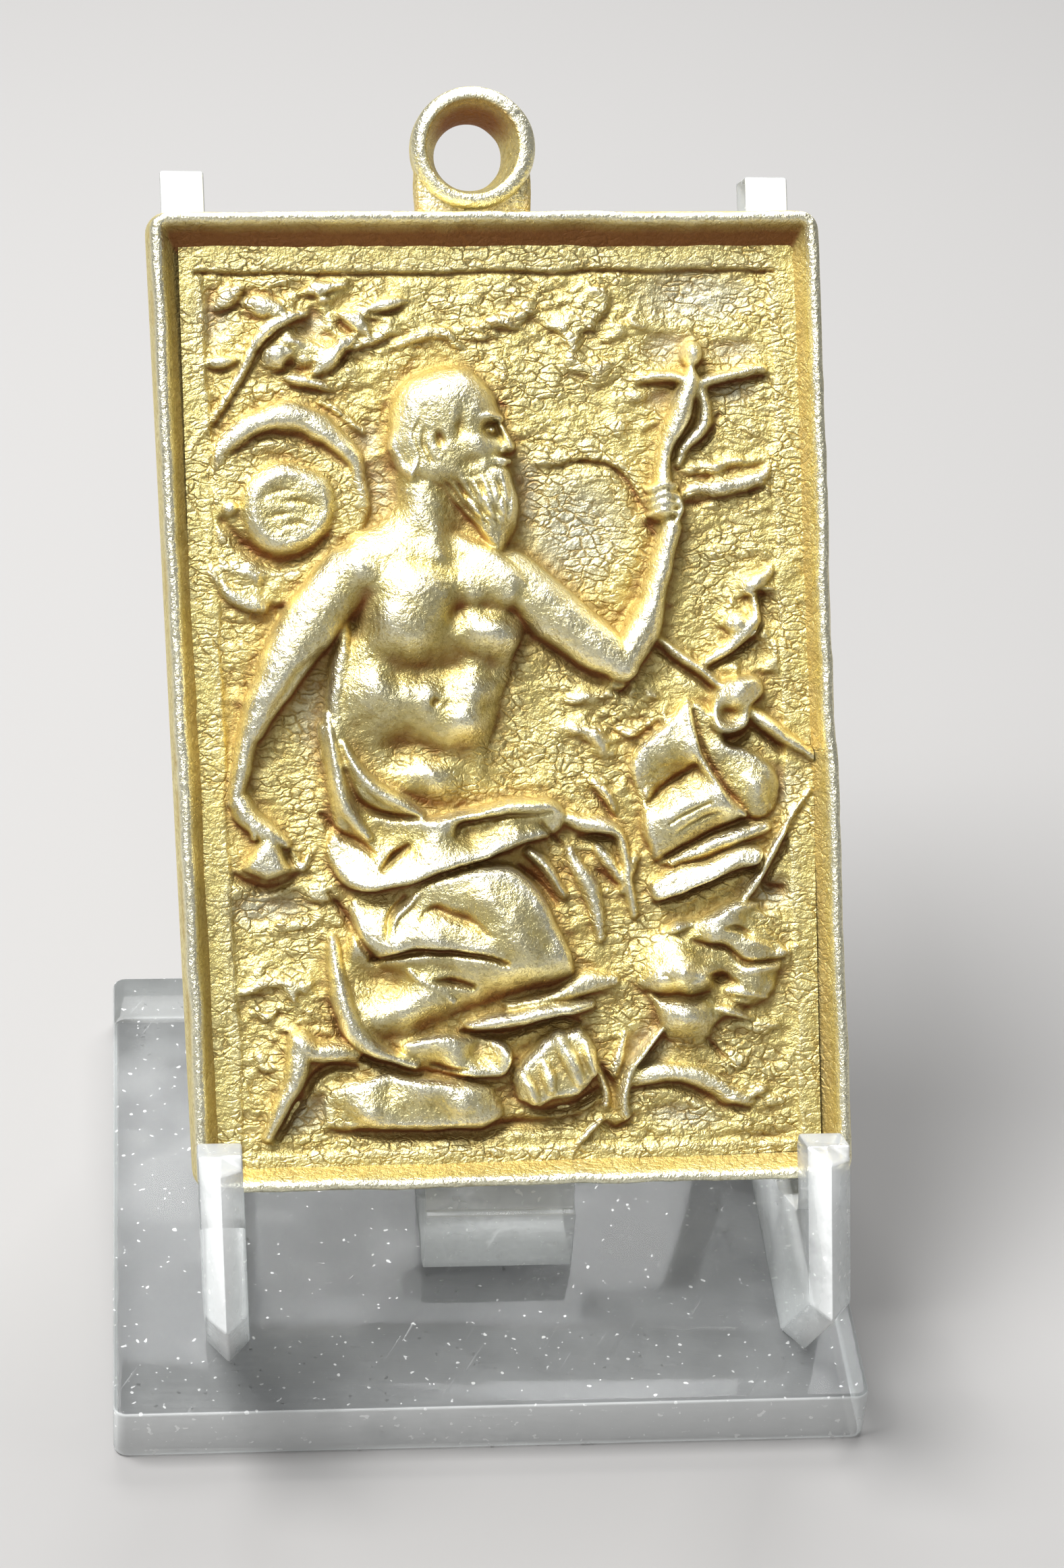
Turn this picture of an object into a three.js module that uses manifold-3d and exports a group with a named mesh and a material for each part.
// A small cast gilt-metal devotional plaque with a suspension loop, resting in its clear acrylic stand.
// Millimetres, +Z up. The origin is the centre of the base plate's underside; the relief faces -Y.
import * as THREE from "three";
import { mergeVertices } from "three/addons/utils/BufferGeometryUtils.js";
import Module from "manifold-3d";

const wasm = await Module();
wasm.setup();

const GAP = 0.3;                 // clearance left between pieces that rest on each other

const BASE_WIDTH = 55;
const BASE_DEPTH = 47.9;
const BASE_THICKNESS = 4.45;
const BASE_CORNER_RADIUS = 1;

const PLAQUE_WIDTH = 47.7;
const PLAQUE_HEIGHT = 69.9;
const PLAQUE_THICKNESS = 4.6;    // from the flat back to the top of the rim
const FIELD_LEVEL = 2.6;         // thickness of the metal under the plain ground of the relief
const CASTING_DRAFT = 0.35;      // how much wider the back is than the front, on each side
const CORNER_PULL = 0.42;        // how far the rounded corners come in
const CASTING_SKEW = 0.016;      // the casting isn't quite square
const PLAQUE_TURN = THREE.MathUtils.degToRad(1.6);
const PLAQUE_CENTRE_X = 0.97;

const RIM_FLAT = 0.75;           // bright top of the rim
const RIM_SLOPE_SIDE = 1.1;      // sloping inner wall at the sides and the foot
const RIM_SLOPE_TOP = 1.9;
const BAND_WIDTH = 3.6;          // from the outside edge to the step round the field
const BAND_STEP = 0.3;
const BAND_STEP_WIDTH = 0.6;

const LOOP_RADIUS = 4.35;
const LOOP_HOLE_FRONT = 3.3;
const LOOP_HOLE_BACK = 2.45;
const LOOP_DEPTH = 3.6;
const LOOP_X = -1.3;
const LOOP_RISE = 4.6;           // from the plaque's top edge to the middle of the loop
const LOOP_CHAMFER = 0.4;
const LOOP_BACK_LIP = 0.6;       // the hole runs straight for this far before it flares
const LOOP_BACK = 0.2;           // the loop starts this far in front of the plaque's back
const NECK_WAIST = 3.85;         // half widths of the neck under the ring
const NECK_TOP = 2.4;
const NECK_WAIST_DROP = 2.2;
const NECK_SETBACK = 0.2;
const NECK_ROOT = 1;             // how far the neck runs down into the plaque

const LEAN = THREE.MathUtils.degToRad(34);    // the plaque leans back from upright by this much
const FACE_OUT = 1.5;            // from the line the lean is measured on, out to the top of the rim
const PLAQUE_MIDDLE = 54.43;     // up that line to the middle of the plaque
const ARM_THICKNESS = 3.15;
const ARM_LEFT_X = -19.1;
const ARM_RIGHT_X = 23.3;
const ARM_SIDE_SLOPE = 0.042;    // the arms stand a little over to the left
const ARM_BACK = 4.6;            // from front to back of the upright bar
const ARM_TOP = 92.5;
const LEDGE_LEFT = 17.75;
const LEDGE_RIGHT = 18.35;
const NOTCH_RADIUS = 1.6;        // the plaque's bottom edge sits against the round back of the notch
const HOOK_INNER = 8;            // inner face of the front hook
const HOOK_TOP = 24.2;
const HOOK_CHAMFER = 0.9;
const HOOK_TIP = new THREE.Vector2(2.6, 25.9);        // depth and height of the hook's front upper corner
const HOOK_SHOULDER = new THREE.Vector2(-1.9, 16.3);  // and of its foremost corner
const RIDGE_AT_TIP = new THREE.Vector2(-1.2, 0.6);    // how far the ground ridge stands out there
const RIDGE_AT_SHOULDER = new THREE.Vector2(-1.88, -0.15);
const RIDGE_AT_FOOT = new THREE.Vector2(-2.18, 0);
const FOOT_FRONT = 6.9;
const FOOT_BACK = 41;
const FOOT_HEIGHT = 4.2;         // of the upright back end of the foot
const GUSSET_TOP = 48;           // where the foot's sloping back meets the bar

const STRUT_WIDTH = 11.3;
const STRUT_X = 1.2;
const STRUT_FRONT = 13.9;
const STRUT_BLOCK_HEIGHT = 5.4;
const STRUT_BLOCK_DEPTH = 9;
const STRUT_THICKNESS = 3.1;
const STRUT_OUT = -6.6;          // front face of the leaning strip, behind the plaque's back
const STRUT_TOP = 62;

const GRID_COLUMNS = 42;
const GRID_ROWS = 60;

const acrylic = new THREE.MeshStandardMaterial({ color: 0xdfe8ea, roughness: 0.08, metalness: 0 });
const gilt = new THREE.MeshStandardMaterial({ color: 0xd2b45c, roughness: 0.34, metalness: 1 });

// A point of the leaning frame: "up" runs up the plaque and "out" runs out of its face.
// The frame starts at the front edge of the base plate's underside.
function leanPoint(up, out) {
  return new THREE.Vector2(
    up * Math.sin(LEAN) - out * Math.cos(LEAN),
    up * Math.cos(LEAN) + out * Math.sin(LEAN),
  );
}

function roundedRectangle(width, depth, radius) {
  const x = width / 2;
  const y = depth / 2;
  const shape = new THREE.Shape();
  shape.moveTo(-x + radius, -y);
  shape.lineTo(x - radius, -y);
  shape.absarc(x - radius, -y + radius, radius, -Math.PI / 2, 0);
  shape.lineTo(x, y - radius);
  shape.absarc(x - radius, y - radius, radius, 0, Math.PI / 2);
  shape.lineTo(-x + radius, y);
  shape.absarc(-x + radius, y - radius, radius, Math.PI / 2, Math.PI);
  shape.lineTo(-x, -y + radius);
  shape.absarc(-x + radius, -y + radius, radius, Math.PI, Math.PI * 1.5);
  return shape;
}

function basePlate() {
  const shape = roundedRectangle(BASE_WIDTH, BASE_DEPTH, BASE_CORNER_RADIUS);
  const settings = { depth: BASE_THICKNESS, bevelEnabled: false, curveSegments: 5 };
  const geometry = new THREE.ExtrudeGeometry(shape, settings);
  const mesh = new THREE.Mesh(geometry, acrylic);
  mesh.name = "base_plate";
  return mesh;
}

// A side outline drawn as (depth, height) stands up in the world: depth runs along +Y, height along +Z.
function standUp(geometry) {
  const axes = new THREE.Matrix4().makeBasis(
    new THREE.Vector3(0, 1, 0),
    new THREE.Vector3(0, 0, 1),
    new THREE.Vector3(1, 0, 0),
  );
  geometry.applyMatrix4(axes);
  geometry.translate(0, -BASE_DEPTH / 2, 0);
  return geometry;
}

// A plate with a ridge along some of its edges: "flat" is the outline of both faces, "ridge" of the middle.
function ridgedPlate(flat, ridge, thickness) {
  const count = flat.length;
  const rings = [flat, ridge, flat];
  const positions = [];
  rings.forEach((ring, index) => {
    const side = (index - 1) * thickness / 2;
    ring.forEach((point) => positions.push(point.x, point.y, side));
  });
  const faces = THREE.ShapeUtils.triangulateShape(flat, []);
  const indices = [];
  faces.forEach(([a, b, c]) => {
    indices.push(a, c, b);
    indices.push(a + 2 * count, b + 2 * count, c + 2 * count);
  });
  for (let ring = 0; ring < 2; ring += 1) {
    for (let i = 0; i < count; i += 1) {
      const next = (i + 1) % count;
      const low = ring * count;
      const high = low + count;
      indices.push(low + i, low + next, high + next);
      indices.push(low + i, high + next, high + i);
    }
  }
  const geometry = new THREE.BufferGeometry();
  geometry.setAttribute("position", new THREE.Float32BufferAttribute(positions, 3));
  geometry.setIndex(indices);
  return geometry;
}

// A quarter round of the notch, drawn in the leaning frame from one angle to the other.
function notchCorner(up, out, from, to) {
  const curve = new THREE.EllipseCurve(out, up, NOTCH_RADIUS, NOTCH_RADIUS, from, to, from > to);
  return curve.getPoints(4).map((point) => leanPoint(point.y, point.x));
}

// One arm: a long foot, a bar behind the plaque, and a hook that holds its bottom edge. The front
// edge of the foot and hook is ground to a ridge.
function arm(name, middle, ledge) {
  const floor = BASE_THICKNESS + GAP / 3;
  const barFront = FACE_OUT - PLAQUE_THICKNESS - GAP;
  const barBack = barFront - ARM_BACK;
  const flat = [
    new THREE.Vector2(FOOT_BACK, floor),
    new THREE.Vector2(FOOT_BACK, floor + FOOT_HEIGHT),
    leanPoint(GUSSET_TOP, barBack),
    leanPoint(ARM_TOP, barBack),
    leanPoint(ARM_TOP, barFront),
    ...notchCorner(ledge + NOTCH_RADIUS, barFront + NOTCH_RADIUS, Math.PI, Math.PI * 1.5),
    ...notchCorner(ledge + NOTCH_RADIUS, HOOK_INNER - NOTCH_RADIUS, Math.PI * 1.5, Math.PI * 2),
    leanPoint(HOOK_TOP - HOOK_CHAMFER, HOOK_INNER),
    leanPoint(HOOK_TOP, HOOK_INNER + HOOK_CHAMFER),
    new THREE.Vector2(HOOK_TIP.x + HOOK_CHAMFER / 2, HOOK_TIP.y + HOOK_CHAMFER),
    HOOK_TIP,
    HOOK_SHOULDER,
    new THREE.Vector2(FOOT_FRONT, floor),
  ];
  const ridge = flat.map((point) => point.clone());
  const last = flat.length - 1;
  ridge[last].add(RIDGE_AT_FOOT);
  ridge[last - 1].add(RIDGE_AT_SHOULDER);
  ridge[last - 2].add(RIDGE_AT_TIP);
  const plate = standUp(ridgedPlate(flat, ridge, ARM_THICKNESS));
  const slope = new THREE.Matrix4().makeShear(0, 0, 0, 0, -ARM_SIDE_SLOPE, 0);
  plate.applyMatrix4(slope);
  plate.translate(ARM_SIDE_SLOPE * floor, 0, 0);
  const mesh = new THREE.Mesh(plate, acrylic);
  mesh.name = name;
  mesh.position.x = middle;
  return mesh;
}

// The middle support: a block on the base with a leaning strip rising from its top behind the plaque.
function strut() {
  const floor = BASE_THICKNESS + GAP / 3;
  const blockTop = BASE_THICKNESS + STRUT_BLOCK_HEIGHT;
  const stripBack = STRUT_OUT - STRUT_THICKNESS;
  const upAt = (height, out) => (height - out * Math.sin(LEAN)) / Math.cos(LEAN);
  const shape = new THREE.Shape([
    new THREE.Vector2(STRUT_FRONT, floor),
    new THREE.Vector2(STRUT_FRONT + STRUT_BLOCK_DEPTH, floor),
    new THREE.Vector2(STRUT_FRONT + STRUT_BLOCK_DEPTH, blockTop),
    leanPoint(upAt(blockTop, stripBack), stripBack),
    leanPoint(STRUT_TOP, stripBack),
    leanPoint(STRUT_TOP, STRUT_OUT),
    leanPoint(upAt(blockTop, STRUT_OUT), STRUT_OUT),
    new THREE.Vector2(STRUT_FRONT, blockTop),
  ]);
  const geometry = new THREE.ExtrudeGeometry(shape, { depth: STRUT_WIDTH, bevelEnabled: false });
  geometry.translate(0, 0, -STRUT_WIDTH / 2);
  const mesh = new THREE.Mesh(standUp(geometry), acrylic);
  mesh.name = "strut";
  mesh.position.x = STRUT_X;
  return mesh;
}

// Rounded forms of the relief. Each gives its height over the ground at a point of the field.
function dome(x, y, radiusX, radiusY, turn, height) {
  const cos = Math.cos(THREE.MathUtils.degToRad(turn));
  const sin = Math.sin(THREE.MathUtils.degToRad(turn));
  return (px, py) => {
    const across = ((px - x) * cos + (py - y) * sin) / radiusX;
    const along = ((py - y) * cos - (px - x) * sin) / radiusY;
    return height * Math.sqrt(Math.max(0, 1 - across * across - along * along));
  };
}

function limb(x1, y1, radius1, x2, y2, radius2, height) {
  const dx = x2 - x1;
  const dy = y2 - y1;
  return (px, py) => {
    const along = THREE.MathUtils.clamp(((px - x1) * dx + (py - y1) * dy) / (dx * dx + dy * dy), 0, 1);
    const radius = radius1 + (radius2 - radius1) * along;
    const distance = Math.hypot(px - x1 - dx * along, py - y1 - dy * along) / radius;
    return height * Math.sqrt(Math.max(0, 1 - distance * distance));
  };
}

// The relief, from the ground forms to the figure and the things round it.
const forms = [
  dome(-15.3, 14.2, 7.2, 6.9, 0, 0.7),          // hat brim
  dome(-15.3, 14.3, 3.7, 3.6, 0, 2.0),          // hat crown
  dome(-16.2, 25.2, 2.2, 2.6, -35, 0.9),        // leaves
  dome(-11.2, 26.6, 3.2, 1.6, 35, 0.8),
  dome(4.5, 26.0, 6.0, 3.4, 0, 0.5),            // foliage
  dome(-3.9, 19.6, 4.4, 4.9, 0, 3.0),           // head
  limb(-1.6, 16.2, 2.3, 0.1, 11.6, 1.3, 2.4),   // beard
  limb(-4.6, 16, 3.0, -5.0, 10.5, 4.2, 2.0),    // neck
  limb(-10.6, 8.6, 3.2, 0.2, 8.2, 3.0, 2.4),    // shoulders
  dome(-5.2, 3.6, 6.4, 7.0, 0, 2.6),            // chest
  dome(-5.4, -2.6, 4.6, 5.4, 0, 2.2),           // belly
  limb(-12.2, 8.2, 2.4, -18.1, -0.6, 1.7, 2.4), // arm with the stone
  limb(-18.2, -0.6, 1.5, -19.0, -6.4, 1.1, 1.8),
  limb(-19.0, -6.6, 1.1, -17.2, -9.2, 1.3, 1.7),
  dome(-17.7, -11.2, 2.3, 1.9, 0, 2.2),         // stone
  limb(2.0, 7.6, 2.6, 8.6, 2.4, 2.3, 2.4),      // arm with the crucifix
  limb(8.8, 2.8, 2.2, 11.6, 9.4, 1.3, 2.0),
  limb(11.6, 9.4, 1.3, 11.7, 14.8, 1.5, 1.7),
  limb(11.9, 16.4, 0.9, 13.8, 22.4, 1.1, 1.5),  // crucifix
  dome(14.2, 24.5, 1.2, 1.3, 0, 1.7),
  limb(10.4, 23.1, 0.8, 18.9, 23.3, 0.8, 1.0),
  limb(-12.2, -2.0, 1.2, -9.4, -9.4, 1.6, 1.6), // robe at the waist
  limb(-10.6, -12.4, 1.7, -4.4, -9.2, 1.7, 2.6),
  limb(-4.4, -9.2, 1.7, 2.6, -8.6, 1.7, 2.4),
  limb(-7.4, -15.4, 3.6, 1.0, -17.6, 3.8, 3.0), // thigh and knee
  limb(-7.0, -20.6, 2.8, -0.6, -19.6, 2.4, 2.2),
  limb(-12.4, -19.4, 1.1, -9.4, -25.4, 1.2, 1.7),
  limb(-9.0, -25.4, 1.5, 4.0, -22.4, 1.3, 1.6),
  limb(4.6, -9.6, 2.0, 8.2, -15.6, 2.4, 1.5),   // trailing cloth
  limb(-13.0, -24.8, 1.5, -16.2, -24.8, 1.4, 1.6),
  limb(-16.2, -24.8, 1.3, -18.1, -30.2, 0.9, 1.5),
  dome(-7.4, -28.6, 5.6, 2.2, 8, 1.5),          // rocks
  dome(-12.6, -29.6, 2.6, 1.6, 0, 0.9),
  dome(2.9, -26.5, 3.6, 3.4, 20, 2.4),          // block
  limb(11.2, 4.2, 0.7, 16.0, 0.2, 0.7, 1.0),    // staff and skull
  dome(17.0, -0.6, 2.0, 1.7, 0, 1.6),
  limb(18.2, -2.2, 0.8, 22.0, -5.0, 0.8, 1.2),
  dome(10.6, -5.4, 5.2, 4.6, 25, 1.4),          // book
  dome(13.8, -10.0, 4.2, 2.6, 30, 1.6),
  limb(21.8, -7.6, 0.6, 17.2, -15.2, 0.6, 0.9),
  limb(19.2, 9.0, 0.9, 15.6, 3.0, 1.0, 0.8),
  dome(12.0, -21.6, 3.6, 4.0, 0, 2.6),          // lion
  dome(16.2, -17.6, 4.2, 4.0, 0, 1.4),
  dome(15.0, -29.6, 6.4, 2.6, -6, 0.7),
];

function softStep(value) {
  const clamped = THREE.MathUtils.clamp(value, 0, 1);
  return clamped * clamped * (3 - 2 * clamped);
}

// Height of the front face over the flat back, at a point of the unskewed plaque.
function frontHeight(x, y) {
  const side = PLAQUE_WIDTH / 2 - Math.abs(x);
  const end = PLAQUE_HEIGHT / 2 - Math.abs(y);
  const slopeEnd = y > 0 ? RIM_SLOPE_TOP : RIM_SLOPE_SIDE;
  const wall = Math.min((side - RIM_FLAT) / RIM_SLOPE_SIDE, (end - RIM_FLAT) / slopeEnd);
  const band = softStep((Math.min(side, end) - BAND_WIDTH) / BAND_STEP_WIDTH);
  const ground = FIELD_LEVEL + BAND_STEP * (1 - band);
  const raised = forms.reduce((highest, form) => Math.max(highest, form(x, y)), 0);
  const relief = ground + raised;
  return PLAQUE_THICKNESS + (relief - PLAQUE_THICKNESS) * THREE.MathUtils.clamp(wall, 0, 1);
}

// Grid lines across the plaque: the first and last few follow the rim, the rest are evenly spaced.
function gridLines(size, count, slopeLow, slopeHigh) {
  const half = size / 2;
  const low = -half + RIM_FLAT + slopeLow;
  const high = half - RIM_FLAT - slopeHigh;
  const lines = [-half, -half + RIM_FLAT, low];
  const steps = count - 4;
  for (let i = 1; i < steps; i += 1) lines.push(low + (high - low) * i / steps);
  lines.push(high, half - RIM_FLAT, half);
  return lines;
}

function plaqueBody() {
  const columns = gridLines(PLAQUE_WIDTH, GRID_COLUMNS, RIM_SLOPE_SIDE, RIM_SLOPE_SIDE);
  const rows = gridLines(PLAQUE_HEIGHT, GRID_ROWS, RIM_SLOPE_SIDE, RIM_SLOPE_TOP);
  const wide = columns.length;
  const high = rows.length;
  const positions = [];
  const place = (i, j, z, grow) => {
    const atSide = i === 0 || i === wide - 1;
    const atEnd = j === 0 || j === high - 1;
    const pull = atSide && atEnd ? CORNER_PULL : 0;
    const x = columns[i] + Math.sign(columns[i]) * (atSide ? grow - pull : 0);
    const y = rows[j] + Math.sign(rows[j]) * (atEnd ? grow - pull : 0);
    positions.push(x - CASTING_SKEW * y, y - CASTING_SKEW * x, z);
  };
  rows.forEach((y, j) => columns.forEach((x, i) => place(i, j, frontHeight(x, y), 0)));
  const rim = [];
  for (let i = 0; i < wide; i += 1) rim.push(i);
  for (let j = 1; j < high; j += 1) rim.push(j * wide + wide - 1);
  for (let i = wide - 2; i >= 0; i -= 1) rim.push((high - 1) * wide + i);
  for (let j = high - 2; j > 0; j -= 1) rim.push(j * wide);
  const backStart = wide * high;
  rim.forEach((index) => place(index % wide, Math.floor(index / wide), 0, CASTING_DRAFT));
  const indices = [];
  for (let j = 0; j < high - 1; j += 1) {
    for (let i = 0; i < wide - 1; i += 1) {
      const a = j * wide + i;
      indices.push(a, a + 1, a + wide + 1);
      indices.push(a, a + wide + 1, a + wide);
    }
  }
  rim.forEach((front, i) => {
    const next = (i + 1) % rim.length;
    indices.push(front, backStart + i, backStart + next);
    indices.push(front, backStart + next, rim[next]);
  });
  const outline = rim.map((_, i) => {
    const at = (backStart + i) * 3;
    return new THREE.Vector2(positions[at], positions[at + 1]);
  });
  THREE.ShapeUtils.triangulateShape(outline, []).forEach(([a, b, c]) => {
    indices.push(backStart + a, backStart + c, backStart + b);
  });
  const geometry = new THREE.BufferGeometry();
  geometry.setAttribute("position", new THREE.Float32BufferAttribute(positions, 3));
  geometry.setIndex(indices);
  return geometry;
}

// The loop is a short thick ring with a flared hole, and a neck that runs down into the plaque's top edge.
function loopRing() {
  const half = LOOP_DEPTH / 2;
  const profile = [
    new THREE.Vector2(LOOP_HOLE_BACK, -half),
    new THREE.Vector2(LOOP_RADIUS - LOOP_CHAMFER, -half),
    new THREE.Vector2(LOOP_RADIUS, -half + LOOP_CHAMFER),
    new THREE.Vector2(LOOP_RADIUS, half - LOOP_CHAMFER),
    new THREE.Vector2(LOOP_RADIUS - LOOP_CHAMFER, half),
    new THREE.Vector2(LOOP_HOLE_FRONT, half),
    new THREE.Vector2(LOOP_HOLE_BACK, -half + LOOP_BACK_LIP),
    new THREE.Vector2(LOOP_HOLE_BACK, -half),
  ];
  const geometry = new THREE.LatheGeometry(profile, 36);
  geometry.rotateX(Math.PI / 2);
  return geometry;
}

function loopNeck() {
  const half = LOOP_DEPTH / 2 - NECK_SETBACK;
  const root = -LOOP_RISE - NECK_ROOT;
  const top = -LOOP_HOLE_FRONT - NECK_SETBACK;
  const shape = new THREE.Shape();
  shape.moveTo(-LOOP_RADIUS, root);
  shape.lineTo(LOOP_RADIUS, root);
  shape.lineTo(NECK_WAIST, -NECK_WAIST_DROP);
  shape.lineTo(NECK_TOP, top);
  shape.lineTo(-NECK_TOP, top);
  shape.lineTo(-NECK_WAIST, -NECK_WAIST_DROP);
  const geometry = new THREE.ExtrudeGeometry(shape, { depth: 2 * half, bevelEnabled: false });
  geometry.translate(0, 0, -half);
  return geometry;
}

function toSolid(geometry) {
  geometry.deleteAttribute("normal");
  geometry.deleteAttribute("uv");
  const merged = mergeVertices(geometry, 1e-4);
  const mesh = new wasm.Mesh({
    numProp: 3,
    vertProperties: new Float32Array(merged.attributes.position.array),
    triVerts: new Uint32Array(merged.index.array),
  });
  return new wasm.Manifold(mesh);
}

function fromSolid(solid) {
  const mesh = solid.getMesh();
  const geometry = new THREE.BufferGeometry();
  geometry.setAttribute("position", new THREE.BufferAttribute(mesh.vertProperties, 3));
  geometry.setIndex(new THREE.BufferAttribute(mesh.triVerts, 1));
  return geometry;
}

function plaque() {
  const loopHeight = PLAQUE_HEIGHT / 2 + LOOP_RISE;
  const loopMiddle = LOOP_DEPTH / 2 + LOOP_BACK;
  const ring = loopRing().translate(LOOP_X, loopHeight, loopMiddle);
  const neck = loopNeck().translate(LOOP_X, loopHeight, loopMiddle);
  const solid = toSolid(plaqueBody()).add(toSolid(neck)).add(toSolid(ring));
  const mesh = new THREE.Mesh(fromSolid(solid), gilt);
  mesh.name = "plaque";
  const middle = leanPoint(PLAQUE_MIDDLE, FACE_OUT - PLAQUE_THICKNESS);
  mesh.position.set(PLAQUE_CENTRE_X, middle.x - BASE_DEPTH / 2, middle.y);
  mesh.rotation.set(Math.PI / 2 - LEAN, 0, PLAQUE_TURN);
  return mesh;
}

const object = new THREE.Group();
object.add(basePlate());
object.add(strut());
object.add(arm("arm_left", ARM_LEFT_X, LEDGE_LEFT));
object.add(arm("arm_right", ARM_RIGHT_X, LEDGE_RIGHT));
object.add(plaque());

export default object;
